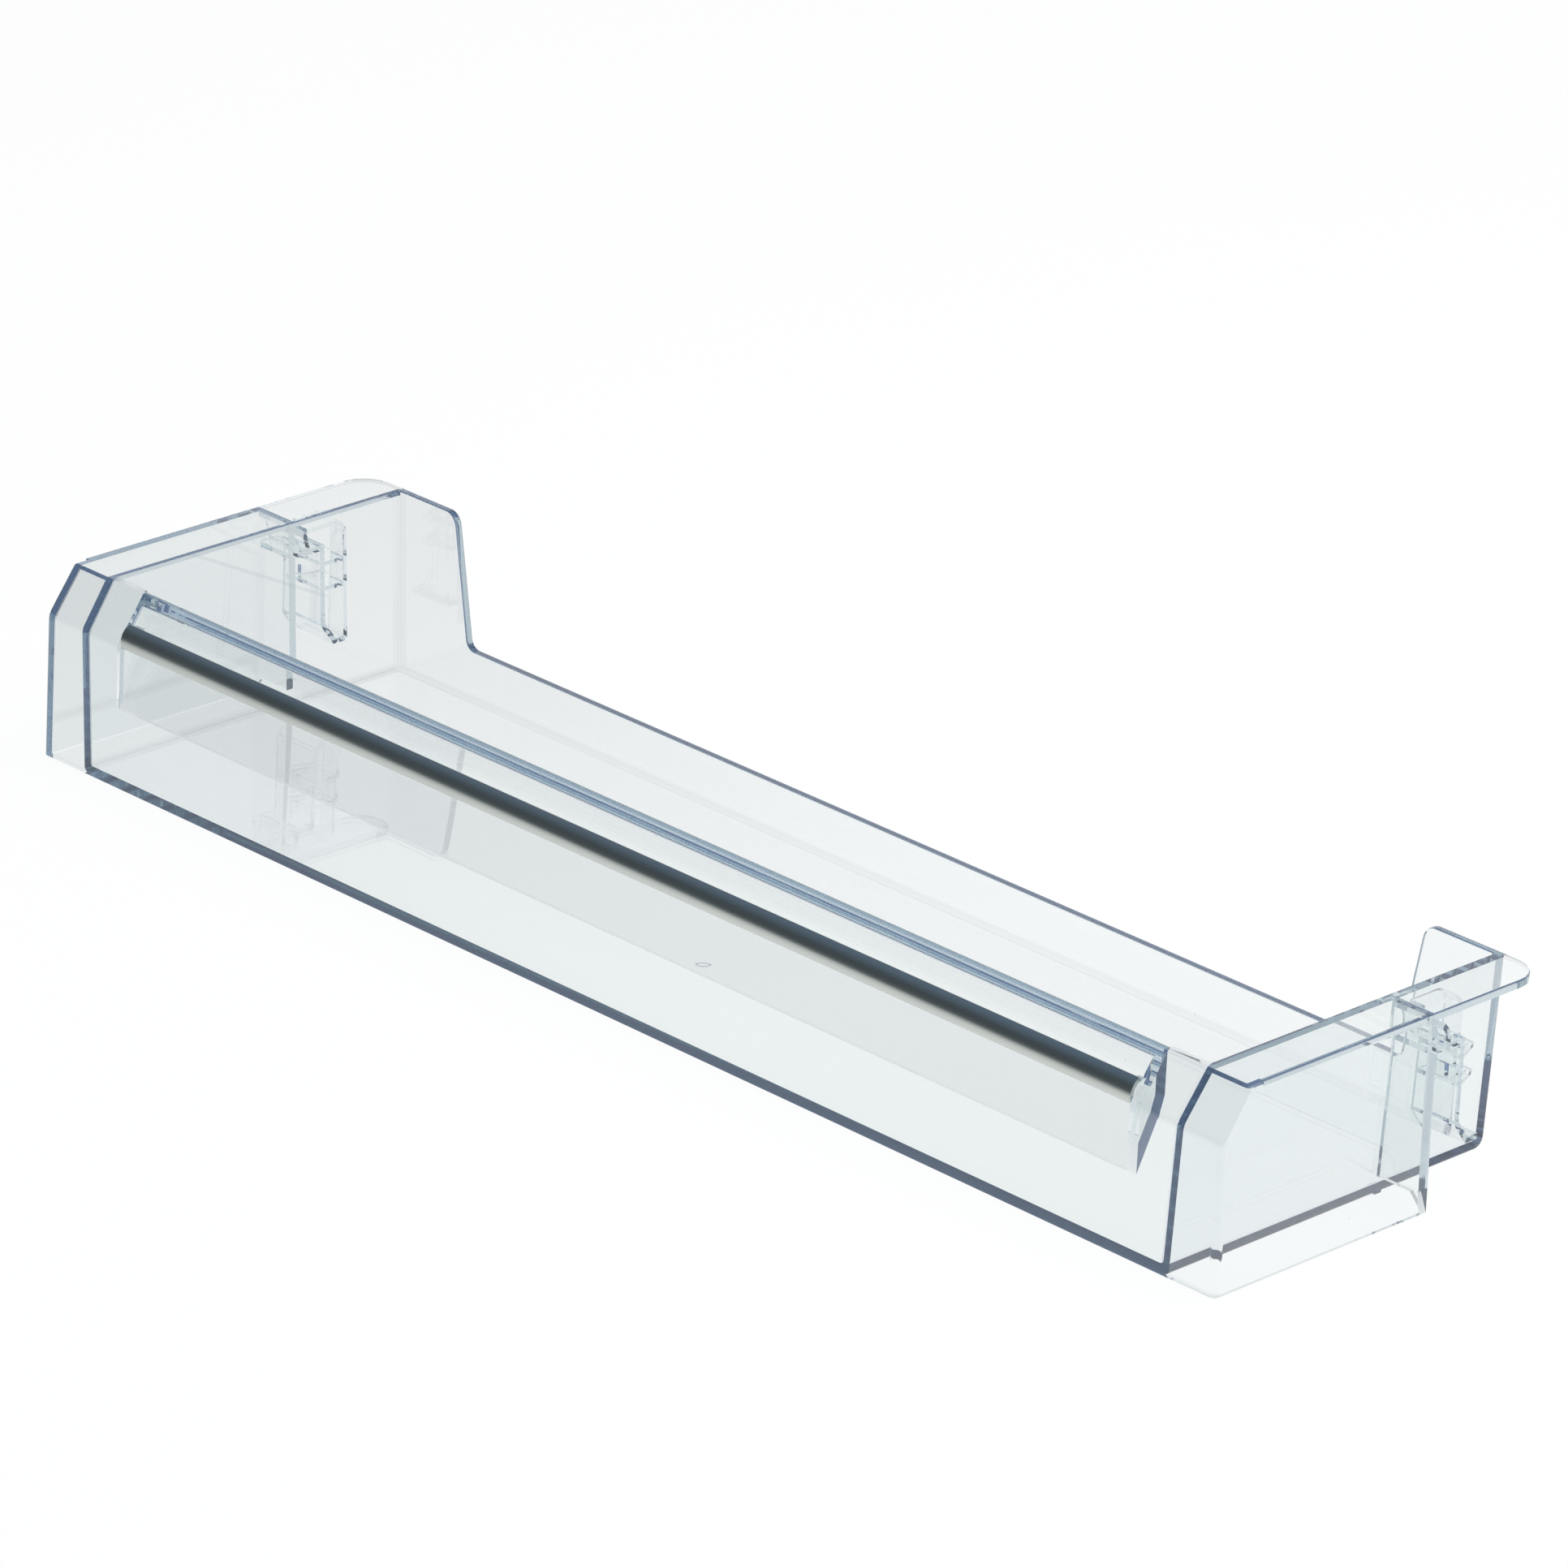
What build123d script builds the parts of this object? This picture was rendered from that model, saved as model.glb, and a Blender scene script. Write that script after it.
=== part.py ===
from build123d import *
from math import atan, tan
import os

# Fridge door shelf: a clear moulded tray with a wing at each end, and a metal trim strip in its front.
# Millimetres. +X runs along the shelf, the front faces -Y, and the shelf stands on z = 0.
# The origin is under the middle of the tray. Places with _back in their name are measured from the front.

# Tray: sizes of the tub
inner_length = 430.0
depth = 124.0
height = 57.5
wall = 2.5
floor = 2.5
side_draft = 2.6
rear_bottom_radius = 3.5
rear_bottom_inner_radius = 1.5
tub_edge_radius = 1.5
inner_edge_radius = 0.9
rim_edge_radius = 0.5

# Front wall: upright to the knee, then leaning back to the rim
leaning_height = 13.5
lean_back = 9.6
knee_radius = 4.5
rim_radius = 0.9

# Rear wall: low in the middle, with an ear at each end
rear_wall_height = 17.0
ear_rim_width = 26.8
ear_foot_width = 34.0
ear_corner_radius = 4.5
ear_foot_radius = 3.5

# Wings: flange, skirt and partition outside each side wall
wing_reach = 13.8
skirt_splay = 0.8
skirt_wall = 2.2
flange = 2.2
flange_corner_radius = 10.0
skirt_corner_radius = 2.0
partition_back = 81.6
partition_wall = 2.5
partition_clearance = 5.5
partition_slant_run = 5.2

# Hook behind each partition, which drops over a lug of the door
rib = 1.7
shelf_rib_height = 46.3
front_rib_back = 92.2
rear_rib_back = 101.0
rear_rib = 1.4
rear_rib_reach = 5.0
slant_top_height = 22.4
foot_back = 96.8
foot_height = 16.2
arch_height = 52.8
arch_radius = 4.0
hump_back = 86.4
hump_height = 54.1
cross_rib_heights = (41.8, 34.0)
cross_rib = 1.3
cross_rib_setback = 4.0
fin = 1.5
fin_height = 4.8

# Recess in the front wall: a slope up from its sill, then an upright back
recess_length = 398.0
recess_sill = 24.6
recess_slope_below_knee = 4.4
recess_slope_run = 7.4
recess_depth = 8.7
recess_below_rim = 2.8
recess_bend_radius = 4.0

# Trim strip: a shallow arc in section, flush with the front wall, held by a lug at each end
strip_radius = 5.0
strip_wall = 1.2
strip_above_knee = 1.4
strip_start = 108.0
strip_sweep = 98.0
strip_end_gap = 0.2
strip_edge_radius = 0.35
lug_length = 3.0
lug_sweep = 180.0
lug_clearance = 0.15

# Places worked out from the sizes, and how far cutters run past what they cut
front = -depth / 2
back = depth / 2
half_rim = inner_length / 2 + wall
half_foot = half_rim - side_draft
half_flange = half_rim + wing_reach
half_skirt_foot = half_flange + skirt_splay
half_recess = recess_length / 2
knee_height = height - leaning_height
recess_slope_top = knee_height - recess_slope_below_knee
recess_top = height - recess_below_rim
strip_centre = (front + strip_radius, knee_height + strip_above_knee)
lug_radius = strip_radius - strip_wall - lug_clearance
ear_rim_x = half_rim - ear_rim_width
ear_foot_x = half_rim - ear_foot_width
wing_root = half_foot - 2 * wall
lean = atan(lean_back / leaning_height)
over = 5.0

# Tests for picking edges: least cosine of an edge's slope from upright, and greatest miss of a place
upright_cosine = 0.9
miss = 0.01


def front_form(rear, inset, bottom, top):
    """Side view from the front face, moved in by inset, back to rear."""
    knee = knee_height - inset * tan(lean / 2)
    reach = inset + (top - knee) * tan(lean)
    Polyline(
        (front + inset, bottom),
        (front + inset, knee),
        (front + reach, top),
        (rear, top),
        (rear, bottom),
        close=True,
    )


def sides(foot, rim, bottom, top):
    """Front view between two side faces that lean from foot, at z = 0, to rim."""
    slope = (rim - foot) / height
    low = foot + slope * bottom
    high = foot + slope * top
    Polyline((-low, bottom), (low, bottom), (high, top), (-high, top), close=True)


def stands_up(edge):
    """True for an edge that runs from the foot towards the rim."""
    return abs((edge % 0.5).Z) > upright_cosine


def corner(sketch, across, up):
    """The sketch's corner nearest to a point."""
    return sketch.vertices().sort_by_distance((across, up))[0]


# Outside of the tub, with its side walls drawn in towards the foot
with BuildPart() as tub:
    with BuildSketch(Plane.YZ) as tub_side:
        with BuildLine():
            front_form(back, 0, 0, height)
        make_face()
        fillet(corner(tub_side, front, knee_height), knee_radius)
        fillet(corner(tub_side, front + lean_back, height), rim_radius)
        fillet(corner(tub_side, back, 0), rear_bottom_radius)
    extrude(amount=half_rim, both=True)
    with BuildSketch(Plane.XZ):
        with BuildLine():
            sides(half_foot, half_rim, 0, height)
        make_face()
    extrude(amount=depth, both=True, mode=Mode.INTERSECT)
    rear_uprights = tub.edges().group_by(Axis.Y)[-1].filter_by(stands_up)
    fillet(rear_uprights, tub_edge_radius)

# Inside of the tub, open at the top
with BuildPart() as tub_room:
    with BuildSketch(Plane.YZ) as room_side:
        with BuildLine():
            front_form(back - wall, wall, floor, height + over)
        make_face()
        fillet(corner(room_side, front + wall, knee_height), knee_radius - wall)
        fillet(corner(room_side, back - wall, floor), rear_bottom_inner_radius)
    extrude(amount=half_rim, both=True)
    with BuildSketch(Plane.XZ):
        with BuildLine():
            sides(half_foot - wall, half_rim - wall, 0, height + over)
        make_face()
    extrude(amount=depth, both=True, mode=Mode.INTERSECT)
    room_uprights = tub_room.edges().filter_by(stands_up)
    fillet(room_uprights, inner_edge_radius)

# Right wing: a box without a bottom between the side wall, front wall, skirt and partition
with BuildPart() as wing:
    with BuildSketch(Plane.YZ) as wing_side:
        with BuildLine():
            front_form(front + partition_back, 0, 0, height)
        make_face()
        fillet(corner(wing_side, front, knee_height), knee_radius)
        fillet(corner(wing_side, front + lean_back, height), rim_radius)
    extrude(amount=half_skirt_foot)
    with BuildSketch(Plane.XZ):
        with BuildLine():
            sides(half_skirt_foot, half_flange, 0, height)
        make_face()
    extrude(amount=depth, both=True, mode=Mode.INTERSECT)
    skirt_front = wing.faces().sort_by(Axis.X)[-1].edges().filter_by(
        lambda e: e.center().Y < front + lean_back
    )
    fillet(skirt_front, skirt_corner_radius)

    # Flange along the whole depth, with a round rear corner
    with BuildSketch(Plane.XY.offset(height)) as flange_plan:
        with Locations((0, back)):
            Rectangle(half_flange, depth - lean_back - over, align=(Align.MIN, Align.MAX))
        fillet(corner(flange_plan, half_flange, back), flange_corner_radius)
    extrude(amount=-flange)

# Room inside the right wing, open below
with BuildPart() as wing_room:
    with BuildSketch(Plane.YZ) as wing_room_side:
        with BuildLine():
            front_form(front + partition_back - partition_wall, wall, -over, height - flange)
        make_face()
        fillet(corner(wing_room_side, front + wall, knee_height), knee_radius - wall)
    extrude(amount=half_skirt_foot)
    with BuildSketch(Plane.XZ):
        with BuildLine():
            sides(half_skirt_foot - skirt_wall, half_flange - skirt_wall, -over, height)
        make_face()
    extrude(amount=depth, both=True, mode=Mode.INTERSECT)
    room_front = wing_room.faces().sort_by(Axis.X)[-1].edges().filter_by(
        lambda e: e.center().Y < front + lean_back + wall
    )
    fillet(room_front, inner_edge_radius)

# Hook ribs: a shelf, a front rib and a foot as wide as the wing, and a short arched rear rib
with BuildPart() as hook:
    shelf_y = front + partition_back - partition_wall / 2
    front_rib_y = front + front_rib_back
    rear_rib_y = front + rear_rib_back
    foot_y = front + foot_back
    hump_y = front + hump_back
    with BuildSketch(Plane.YZ.offset(wing_root)):
        with BuildLine():
            Polyline(
                (shelf_y, shelf_rib_height),
                (front_rib_y, shelf_rib_height),
                (front_rib_y, slant_top_height),
                (foot_y, foot_height),
                (rear_rib_y, foot_height),
            )
        trace(line_width=rib)
    extrude(amount=half_flange - wing_root)
    with BuildSketch(Plane.YZ.offset(wing_root)):
        with BuildLine():
            JernArc((shelf_y, hump_height), (1, 0), hump_y - shelf_y, -90)
            Line((hump_y, hump_height - (hump_y - shelf_y)), (hump_y, shelf_rib_height))
        trace(line_width=rib)
    extrude(amount=half_flange - wing_root)
    with BuildSketch(Plane.YZ.offset(wing_root)):
        with BuildLine():
            rear_line = Line((rear_rib_y, foot_height), (rear_rib_y, arch_height - arch_radius))
            arch = JernArc(rear_line @ 1, rear_line % 1, arch_radius, 90)
            Line(arch @ 1, (hump_y, arch_height))
        trace(line_width=rear_rib)
    extrude(amount=half_rim + rear_rib_reach - wing_root)
    for cross_height in cross_rib_heights:
        with BuildSketch(Plane.XY.offset(cross_height)):
            with BuildLine():
                Polyline(
                    (wing_root, front_rib_y),
                    (half_flange, front_rib_y),
                    (half_flange - cross_rib_setback, rear_rib_y + rear_rib / 2),
                    (wing_root, rear_rib_y + rear_rib / 2),
                    close=True,
                )
            make_face()
        extrude(amount=-cross_rib)
        with BuildSketch(Plane.YZ.offset(half_flange - cross_rib_setback)):
            with BuildLine():
                Polyline(
                    (front_rib_y, cross_height - cross_rib),
                    (front_rib_y, cross_height + fin_height),
                    (rear_rib_y + rear_rib / 2, cross_height - cross_rib),
                    close=True,
                )
            make_face()
        extrude(amount=-fin)

# Recess in the front wall, and the wall that follows it inside the tub
with BuildPart() as recess:
    with BuildSketch(Plane.YZ) as recess_side:
        with BuildLine():
            Polyline(
                (front, recess_sill),
                (front + recess_slope_run, recess_slope_top),
                (front + recess_depth, recess_slope_top + recess_bend_radius),
                (front + recess_depth, recess_top),
                (front - over, recess_top),
                (front - over, recess_sill),
                close=True,
            )
        make_face()
        fillet(corner(recess_side, front + recess_slope_run, recess_slope_top), recess_bend_radius)
    extrude(amount=half_recess, both=True)

with BuildPart() as recess_backing:
    with BuildSketch(Plane.YZ):
        add(recess_side.sketch_local)
        offset(amount=wall, kind=Kind.ARC)
        with Locations((front + recess_depth, recess_top)):
            Rectangle(wall, recess_below_rim, align=(Align.MIN, Align.MIN))
    extrude(amount=half_recess + wall, both=True)
    add(tub.part, mode=Mode.INTERSECT)

with BuildPart() as tray:
    add(wing.part)
    add(wing_room.part, mode=Mode.SUBTRACT)
    add(hook.part)
    mirror(about=Plane.YZ)
    add(tub.part)
    add(tub_room.part, mode=Mode.SUBTRACT)
    add(recess_backing.part)
    add(recess.part, mode=Mode.SUBTRACT)

    # Middle of the rear wall cut down between the ears
    with BuildSketch(Plane.XZ.offset(-back + wall + inner_edge_radius)) as gap:
        with BuildLine():
            Polyline(
                (-ear_foot_x, rear_wall_height),
                (ear_foot_x, rear_wall_height),
                (ear_rim_x, height),
                (ear_rim_x, height + over),
                (-ear_rim_x, height + over),
                (-ear_rim_x, height),
                close=True,
            )
        make_face()
        fillet(gap.vertices().group_by(Axis.Y)[0], ear_foot_radius)
    extrude(amount=-wall - over, mode=Mode.SUBTRACT)
    ear_corners = tray.edges().filter_by(Axis.Y).filter_by(
        lambda e: abs(abs(e.center().X) - ear_rim_x) < miss and abs(e.center().Z - height) < miss
    )
    fillet(ear_corners, ear_corner_radius)

    # Small radius on the rim, which runs on from the low middle over the ears and around the whole top
    low_rim = tray.edges().filter_by(Axis.X).filter_by(lambda e: abs(e.center().Z - rear_wall_height) < miss)
    fillet(low_rim, rim_edge_radius)

    # Behind the recess the inside of the front wall stands upright all the way to the rim
    with BuildSketch(Plane.YZ):
        with Locations((front + recess_depth + wall, recess_top)):
            Rectangle(wall + over, recess_below_rim + over, align=(Align.MIN, Align.MIN))
    extrude(amount=half_recess + wall, both=True, mode=Mode.SUBTRACT)
    front_rim = tray.edges().filter_by(Axis.X).filter_by(
        lambda e: abs(e.center().Y - front - recess_depth - wall) < miss and abs(e.center().Z - height) < miss
    )
    fillet(front_rim, rim_edge_radius)

    # Bottom edge of each partition, higher beside the tub and slanting down to the foot of the skirt
    with BuildSketch(Plane.XZ.offset(-front - partition_back)):
        with BuildLine():
            Polyline(
                (half_foot, 0),
                (half_foot + side_draft * partition_clearance / height, partition_clearance),
                (half_skirt_foot - partition_slant_run, partition_clearance),
                (half_skirt_foot, 0),
                close=True,
            )
        make_face()
        mirror(about=Plane.YZ)
    extrude(amount=partition_wall, mode=Mode.SUBTRACT)

    # Half-round lug on each end of the recess, which the hollow end of the strip slips over
    with BuildSketch(Plane.YZ.offset(half_recess - lug_length)):
        with BuildLine():
            lug_start = strip_start + (strip_sweep - lug_sweep) / 2
            lug_arc = CenterArc(strip_centre, lug_radius, lug_start, lug_sweep)
            Line(lug_arc @ 0, lug_arc @ 1)
        make_face()
    lug = extrude(amount=lug_length)
    mirror(lug, about=Plane.YZ)

tray.part.label = "tray"

with BuildPart() as trim_strip:
    with BuildSketch(Plane.YZ) as strip_section:
        with BuildLine():
            outer = CenterArc(strip_centre, strip_radius, strip_start, strip_sweep)
            inner = CenterArc(strip_centre, strip_radius - strip_wall, strip_start, strip_sweep)
            Line(outer @ 0, inner @ 0)
            Line(outer @ 1, inner @ 1)
        make_face()
        fillet(strip_section.vertices(), strip_edge_radius)
    extrude(amount=half_recess - strip_end_gap, both=True)

trim_strip.part.label = "trim_strip"

os.makedirs("parts", exist_ok=True)
export_step(tray.part, "parts/tray.step")
export_step(trim_strip.part, "parts/trim_strip.step")
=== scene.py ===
import math

import bpy
from mathutils import Matrix, Vector

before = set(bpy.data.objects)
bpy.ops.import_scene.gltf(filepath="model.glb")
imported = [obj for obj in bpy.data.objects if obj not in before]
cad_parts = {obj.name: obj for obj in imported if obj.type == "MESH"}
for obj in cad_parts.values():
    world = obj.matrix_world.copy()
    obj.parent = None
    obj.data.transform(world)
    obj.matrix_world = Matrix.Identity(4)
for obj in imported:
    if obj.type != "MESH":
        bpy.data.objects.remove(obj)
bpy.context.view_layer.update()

# Tray: one shot of clear polystyrene, moulded with its walls, wings and hook ribs in a polished tool.
# A wall looks almost clear from its face. Light that runs along inside a wall turns dark blue-grey,
# so each edge that shows its cut end is a dark line, lifted a little by a painted blue glow from the
# plastic.
TRAY_TINT = (0.99, 1.0, 0.998, 1)
TRAY_INDEX = 1.59
TRAY_EDGE_COLOUR = (0.60, 0.683, 0.70, 1)
TRAY_EDGE_DENSITY = 60.0
TRAY_SHADOW_TINT = (0.93, 0.95, 0.96, 1)
# Painted glow that the plastic gives off at its cut edges, in place of light reaching them.
PAINTED_EDGE_GLOW_COLOUR = (0.56, 0.64, 1.0, 1)
PAINTED_EDGE_GLOW_STRENGTH = 0.026
PAINTED_EDGE_GLOW_FACE_ON = (0, 0, 0, 1)
SCUFF_SIZE = 0.0035
SCUFF_PATCH = 0.045
SCUFF_DETAIL = 3.0
SCUFF_GRAIN = 0.6
SCUFF_PATCH_DETAIL = 2.0
SCUFF_LEAST = 0.3
SCUFF_ROUGHNESS = 0.05
HAIRLINE_LENGTH = 0.03
HAIRLINE_THINNESS = 60.0
HAIRLINE_TURN = (0.4, 0.7, 0.5)
HAIRLINE_DETAIL = 1.0
HAIRLINE_EDGE = (0.70, 0.74)
HAIRLINE_ROUGHNESS = 0.12
SPECK_SPACING = 0.014
SPECK_RADIUS = 0.0002
SPECK_COLOUR = (0.42, 0.46, 0.48, 1)
FLOW_LENGTH = 0.045
FLOW_STRETCH = 0.35
FLOW_DETAIL = 3.0
FLOW_SWIRL = 0.6
FLOW_DEPTH = 0.00002
GATE_PLACE = (0.0009, -0.0205, 0.0)
GATE_RADIUS = 0.0019
GATE_EDGE = 0.0004
GATE_DEPTH = 0.00005


class Finish:
    """A socket of a material's or the studio's nodes, written in sums like a number."""

    def __init__(self, tree, socket=None):
        self.tree = tree
        self.socket = socket

    def add(self, kind, settings=None, inputs=None, output=0):
        """A new node: its settings first, then the values or links of its sockets."""
        node = self.tree.nodes.new(kind)
        for name, value in (settings or {}).items():
            setattr(node, name, value)
        for name, value in (inputs or {}).items():
            if isinstance(value, Finish):
                self.tree.links.new(value.socket, node.inputs[name])
            else:
                node.inputs[name].default_value = value
        return Finish(self.tree, node.outputs[output] if node.outputs else None)

    def maths(self, operation, *values):
        """A Math node on values and numbers."""
        return self.add("ShaderNodeMath", {"operation": operation}, dict(enumerate(values)))

    def fade(self, ends, levels=(0.0, 1.0)):
        """This value's smooth step, from the first level at one end to the second at the other."""
        return self.add(
            "ShaderNodeMapRange",
            {"interpolation_type": "SMOOTHSTEP"},
            {0: self, 1: ends[0], 2: ends[1], 3: levels[0], 4: levels[1]},
        )

    def blend(self, first, second):
        """A colour that goes from the first to the second as this value goes from 0 to 1."""
        return self.add("ShaderNodeMix", {"data_type": "RGBA"}, {0: self, 6: first, 7: second}, output=2)

    def __add__(self, other):
        return self.maths("ADD", self, other)

    def __sub__(self, other):
        return self.maths("SUBTRACT", self, other)

    def __rsub__(self, other):
        return self.maths("SUBTRACT", other, self)

    def __mul__(self, other):
        return self.maths("MULTIPLY", self, other)

    __radd__ = __add__
    __rmul__ = __mul__


def new_finish(name):
    """An empty material and a place to start its nodes from."""
    material = bpy.data.materials.new(name)
    material.use_nodes = True
    material.node_tree.nodes.clear()
    return material, Finish(material.node_tree)


def dress(node, material):
    """Gives one moulded or drawn piece its finish."""
    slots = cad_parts[node].data.materials
    slots.clear()
    slots.append(material)


clear_plastic, pen = new_finish("clear_plastic")
where = pen.add("ShaderNodeTexCoord", output="Object")

# Fine scuffs from use, only in patches.
fine = pen.add(
    "ShaderNodeTexNoise",
    inputs={"Vector": where, "Scale": 1 / SCUFF_SIZE, "Detail": SCUFF_DETAIL, "Roughness": SCUFF_GRAIN},
)
patches = pen.add(
    "ShaderNodeTexNoise",
    inputs={"Vector": where, "Scale": 1 / SCUFF_PATCH, "Detail": SCUFF_PATCH_DETAIL},
)
scuffs = pen.maths("MAXIMUM", fine * patches - SCUFF_LEAST, 0.0)

# A few long, thin scratches, all leaning the same way.
turned = pen.add(
    "ShaderNodeMapping",
    inputs={
        "Vector": where,
        "Rotation": HAIRLINE_TURN,
        "Scale": (1.0, HAIRLINE_THINNESS, HAIRLINE_THINNESS),
    },
)
hairs = pen.add(
    "ShaderNodeTexNoise",
    inputs={"Vector": turned, "Scale": 1 / HAIRLINE_LENGTH, "Detail": HAIRLINE_DETAIL},
)
hairlines = pen.add("ShaderNodeMapRange", inputs={0: hairs, 1: HAIRLINE_EDGE[0], 2: HAIRLINE_EDGE[1]})

# Small grey specks in the clear plastic.
cells = pen.add("ShaderNodeTexVoronoi", inputs={"Vector": where, "Scale": 1 / SPECK_SPACING})
specks = pen.maths("LESS_THAN", cells, SPECK_RADIUS / SPECK_SPACING)
tint = specks.blend(TRAY_TINT, SPECK_COLOUR)

# The faint ripple that the flowing melt left, and the round mark of the gate on the floor.
flow_way = pen.add("ShaderNodeMapping", inputs={"Vector": where, "Scale": (FLOW_STRETCH, 1.0, 1.0)})
flow = pen.add(
    "ShaderNodeTexNoise",
    inputs={"Vector": flow_way, "Scale": 1 / FLOW_LENGTH, "Detail": FLOW_DETAIL, "Distortion": FLOW_SWIRL},
)
on_floor = pen.add("ShaderNodeVectorMath", {"operation": "MULTIPLY"}, {0: where, 1: (1.0, 1.0, 0.0)})
from_gate = pen.add(
    "ShaderNodeVectorMath",
    {"operation": "DISTANCE"},
    {0: on_floor, 1: GATE_PLACE},
    output="Value",
)
gate = from_gate.fade((GATE_RADIUS + GATE_EDGE, GATE_RADIUS))
relief = flow * FLOW_DEPTH + gate * GATE_DEPTH
ripple = pen.add("ShaderNodeBump", inputs={"Strength": 1.0, "Distance": 1.0, "Height": relief})

# Painted glow: the plastic gives off a little blue light only where light is turned back inside a wall, to
# lighten the cut edges.
turned_back = pen.add("ShaderNodeLightPath", output="Is Reflection Ray")
painted_edge_glow = turned_back.blend(PAINTED_EDGE_GLOW_FACE_ON, PAINTED_EDGE_GLOW_COLOUR)
plastic = pen.add(
    "ShaderNodeBsdfPrincipled",
    inputs={
        "Base Color": tint,
        "Roughness": scuffs * SCUFF_ROUGHNESS + hairlines * HAIRLINE_ROUGHNESS,
        "IOR": TRAY_INDEX,
        "Transmission Weight": 1.0,
        "Emission Color": painted_edge_glow,
        "Emission Strength": PAINTED_EDGE_GLOW_STRENGTH,
        "Normal": ripple,
    },
)

# The lamp shines through the plastic, so that the floor has a pale shadow and no black one.
shadow_path = pen.add("ShaderNodeLightPath", output="Is Shadow Ray")
diffuse_path = pen.add("ShaderNodeLightPath", output="Is Diffuse Ray")
let_through = pen.maths("MAXIMUM", shadow_path, diffuse_path)
shade = pen.add("ShaderNodeBsdfTransparent", inputs={"Color": TRAY_SHADOW_TINT})
surface = pen.add("ShaderNodeMixShader", inputs={0: let_through, 1: plastic, 2: shade})

# Light turns blue-grey and darker with the length of its way through the plastic.
depth_tint = pen.add(
    "ShaderNodeVolumeAbsorption",
    inputs={"Color": TRAY_EDGE_COLOUR, "Density": TRAY_EDGE_DENSITY},
)
pen.add("ShaderNodeOutputMaterial", inputs={"Surface": surface, "Volume": depth_tint})
clear_plastic.cycles.emission_sampling = "NONE"
dress("tray", clear_plastic)

# Trim strip: thin aluminium drawn to a shallow arc and satin brushed along its length.
# Its hollow ends slip over a lug at each end of the recess, which holds it in the front wall.
STRIP_COLOUR = (0.62, 0.655, 0.625, 1)
STRIP_GRAIN = 0.0004
STRIP_STRETCH = 0.01
STRIP_DETAIL = 4.0
STRIP_ROUGHNESS = 0.24
STRIP_GRAIN_ROUGHNESS = 0.08
STRIP_BUMP = 0.3
STRIP_BUMP_DEPTH = 0.00001

satin_metal, pen = new_finish("satin_metal")
where = pen.add("ShaderNodeTexCoord", output="Object")
along = pen.add("ShaderNodeMapping", inputs={"Vector": where, "Scale": (STRIP_STRETCH, 1.0, 1.0)})
grain = pen.add(
    "ShaderNodeTexNoise",
    inputs={"Vector": along, "Scale": 1 / STRIP_GRAIN, "Detail": STRIP_DETAIL},
)
brushed = pen.add(
    "ShaderNodeBump",
    inputs={"Strength": STRIP_BUMP, "Distance": STRIP_BUMP_DEPTH, "Height": grain},
)
metal = pen.add(
    "ShaderNodeBsdfPrincipled",
    inputs={
        "Base Color": STRIP_COLOUR,
        "Metallic": 1.0,
        "Roughness": grain * STRIP_GRAIN_ROUGHNESS + STRIP_ROUGHNESS,
        "Normal": brushed,
    },
)
pen.add("ShaderNodeOutputMaterial", inputs={"Surface": metal})
dress("trim_strip", satin_metal)

# Floor: a wide white sheet that the shelf stands on. It is evenly white where it is seen past the
# shelf. Through the plastic and in the metal its glow carries painted shade: a little dimmer to the left,
# and dark in front.
FLOOR_HALF = 40.0
FLOOR_GAP = 0.0003
FLOOR_GLOW_SHARE = 0.93
FLOOR_WHITE = (0.92, 0.92, 0.92, 1)
FLOOR_GLOW = (1.0, 1.0, 1.0, 1)
# Painted shade in the floor's glow, seen only in the metal and through the plastic.
FLOOR_PAINTED_DARK = (0.05, 0.07, 0.08, 1)
FLOOR_PAINTED_LEFT_SHADE = (-0.34, 0.05)
FLOOR_PAINTED_LEFT_LEVEL = 0.845
FLOOR_PAINTED_FRONT_SHADE = (-0.36, -0.035)

corners = [(x * FLOOR_HALF, y * FLOOR_HALF, -FLOOR_GAP) for x, y in ((-1, -1), (1, -1), (1, 1), (-1, 1))]
floor_mesh = bpy.data.meshes.new("floor_sheet")
floor_mesh.from_pydata(corners, [], [(0, 1, 2, 3)])
floor_sheet = bpy.data.objects.new("floor_sheet", floor_mesh)
bpy.context.scene.collection.objects.link(floor_sheet)
white_sheet, pen = new_finish("white_sheet")
where = pen.add("ShaderNodeTexCoord", output="Object")
across = pen.add("ShaderNodeSeparateXYZ", inputs={0: where}, output="X")
forward = pen.add("ShaderNodeSeparateXYZ", inputs={0: where}, output="Y")
# Painted shade: the glow dims to the left and goes dark in front, except where the camera sees the floor
# directly.
painted_left_shade = across.fade(FLOOR_PAINTED_LEFT_SHADE, (FLOOR_PAINTED_LEFT_LEVEL, 1.0))
painted_front_shade = forward.fade(FLOOR_PAINTED_FRONT_SHADE)
seen = pen.add("ShaderNodeLightPath", output="Is Camera Ray")
mirrored = pen.add("ShaderNodeLightPath", output="Is Glossy Ray")
looked_through = pen.add("ShaderNodeLightPath", output="Is Transmission Ray")
glow_share = pen.maths("MAXIMUM", pen.maths("MAXIMUM", seen, mirrored), looked_through) * FLOOR_GLOW_SHARE
painted_shade_level = pen.maths("MAXIMUM", seen, painted_left_shade * painted_front_shade)
sheet = pen.add("ShaderNodeBsdfDiffuse", inputs={"Color": FLOOR_WHITE})
glow = pen.add("ShaderNodeEmission", inputs={"Color": painted_shade_level.blend(FLOOR_PAINTED_DARK, FLOOR_GLOW), "Strength": 1.0})
floor_look = pen.add("ShaderNodeMixShader", inputs={0: glow_share, 1: sheet, 2: glow})
pen.add("ShaderNodeOutputMaterial", inputs={"Surface": floor_look})
white_sheet.cycles.emission_sampling = "NONE"
floor_mesh.materials.append(white_sheet)

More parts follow.
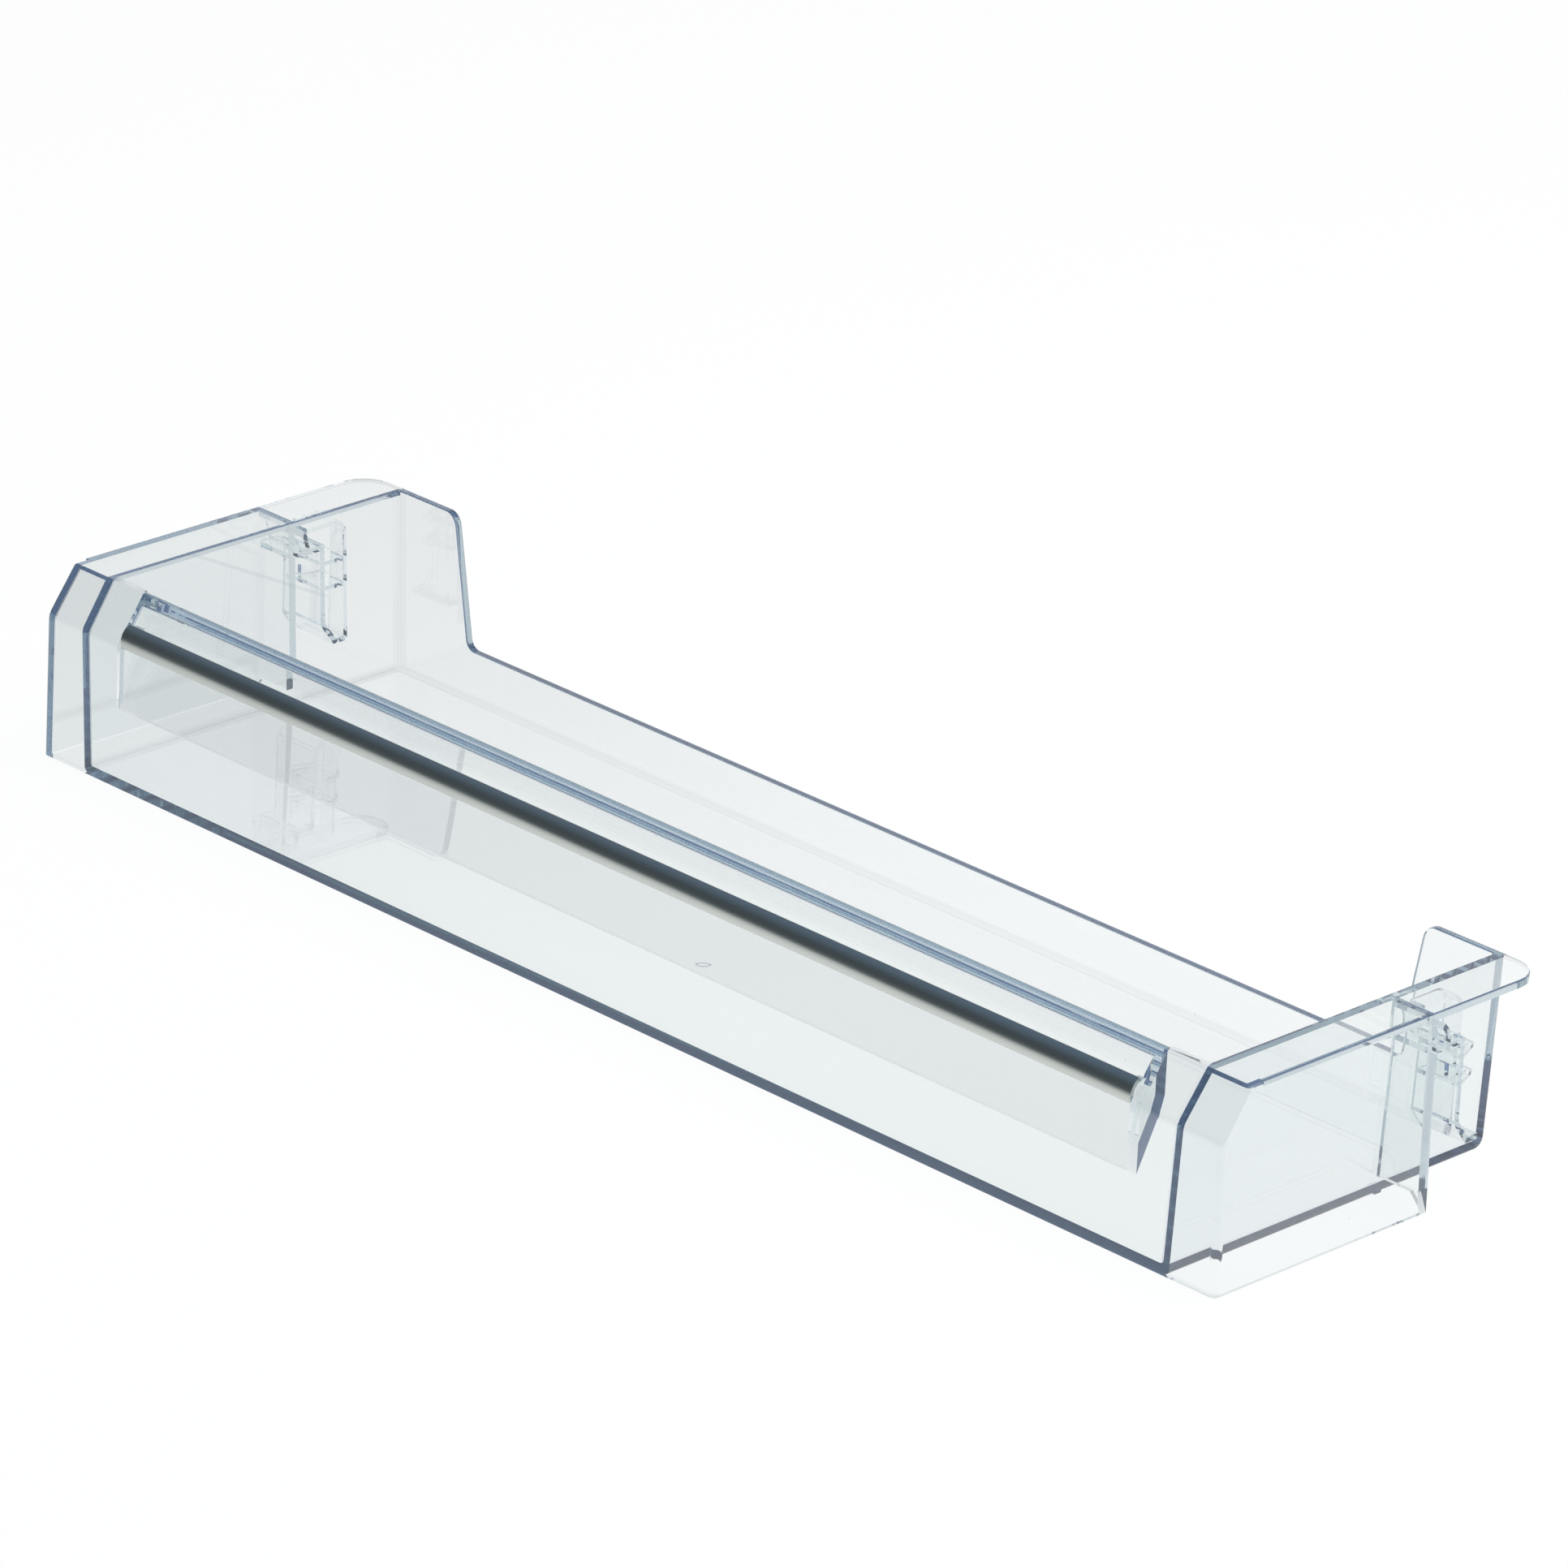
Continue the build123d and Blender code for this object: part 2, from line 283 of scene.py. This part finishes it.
# Studio: a white wall behind the shelf, and a dim room in front of it and overhead, which the
# strip and the cut edges of the plastic mirror. The camera itself sees plain white.
STUDIO_WHITE = (1.0, 1.0, 1.0, 1)
STUDIO_DIM = (0.07, 0.085, 0.095, 1)
STUDIO_OVERHEAD = (0.14, 0.20, 0.29, 1)
BACK_WALL_FADE = (-0.1, 0.45)
BACK_WALL_TOP = (0.75, 0.35)
OVERHEAD_FADE = (0.42, 0.95)

world = bpy.data.worlds.new("studio")
world.use_nodes = True
world.node_tree.nodes.clear()
bpy.context.scene.world = world
pen = Finish(world.node_tree)
way = pen.add("ShaderNodeTexCoord", output="Generated")
way_back = pen.add("ShaderNodeSeparateXYZ", inputs={0: way}, output="Y")
way_up = pen.add("ShaderNodeSeparateXYZ", inputs={0: way}, output="Z")
room = way_up.fade(OVERHEAD_FADE).blend(STUDIO_DIM, STUDIO_OVERHEAD)
walls = (way_back.fade(BACK_WALL_FADE) * way_up.fade(BACK_WALL_TOP)).blend(room, STUDIO_WHITE)
seen = pen.add("ShaderNodeLightPath", output="Is Camera Ray")
shown = seen.blend(walls, STUDIO_WHITE)
background = pen.add("ShaderNodeBackground", inputs={"Color": shown, "Strength": 1.0})
pen.add("ShaderNodeOutputWorld", inputs={"Surface": background})

# Softbox: one wide lamp above the shelf and to its right, at a plain level, for the soft shadow on
# the floor. The plastic and the strip mirror the room and not the lamp, so no face is blown out.
SOFTBOX_PLACE = (0.5, 0.35, 1.6)
SOFTBOX_SIZE = (1.4, 1.0)
SOFTBOX_POWER = 32.0

lamp = bpy.data.lights.new("softbox", "AREA")
lamp.shape = "RECTANGLE"
lamp.size, lamp.size_y = SOFTBOX_SIZE
lamp.energy = SOFTBOX_POWER
softbox = bpy.data.objects.new("softbox", lamp)
softbox.location = SOFTBOX_PLACE
softbox.rotation_euler = (-Vector(SOFTBOX_PLACE)).to_track_quat("-Z", "Y").to_euler()
softbox.visible_glossy = False
softbox.visible_transmission = False
bpy.context.scene.collection.objects.link(softbox)

# Camera: a long lens at the photograph's angle, to the right of the front and above the rim.
# Light may turn many times inside the clear walls, or their edges would be cut off as black.
CAMERA_PLACE = (1.675214, -1.695682, 1.056950)
CAMERA_AZIMUTH = 44.52
CAMERA_ELEVATION = 22.88
CAMERA_ROLL = 2.61
CAMERA_LENS = 215.63
LIGHT_TURNS = 40
MIRROR_TURNS = 32
CLEAR_TURNS = 20

camera_data = bpy.data.cameras.new("camera")
camera_data.lens = CAMERA_LENS
camera = bpy.data.objects.new("camera", camera_data)
turn = (
    Matrix.Rotation(math.radians(CAMERA_AZIMUTH), 4, "Z")
    @ Matrix.Rotation(math.radians(90 - CAMERA_ELEVATION), 4, "X")
    @ Matrix.Rotation(math.radians(CAMERA_ROLL), 4, "Z")
)
camera.matrix_world = Matrix.Translation(CAMERA_PLACE) @ turn
bpy.context.scene.collection.objects.link(camera)
bpy.context.scene.camera = camera
bpy.context.scene.view_settings.view_transform = "Standard"
bpy.context.scene.cycles.max_bounces = LIGHT_TURNS
bpy.context.scene.cycles.glossy_bounces = MIRROR_TURNS
bpy.context.scene.cycles.transmission_bounces = CLEAR_TURNS
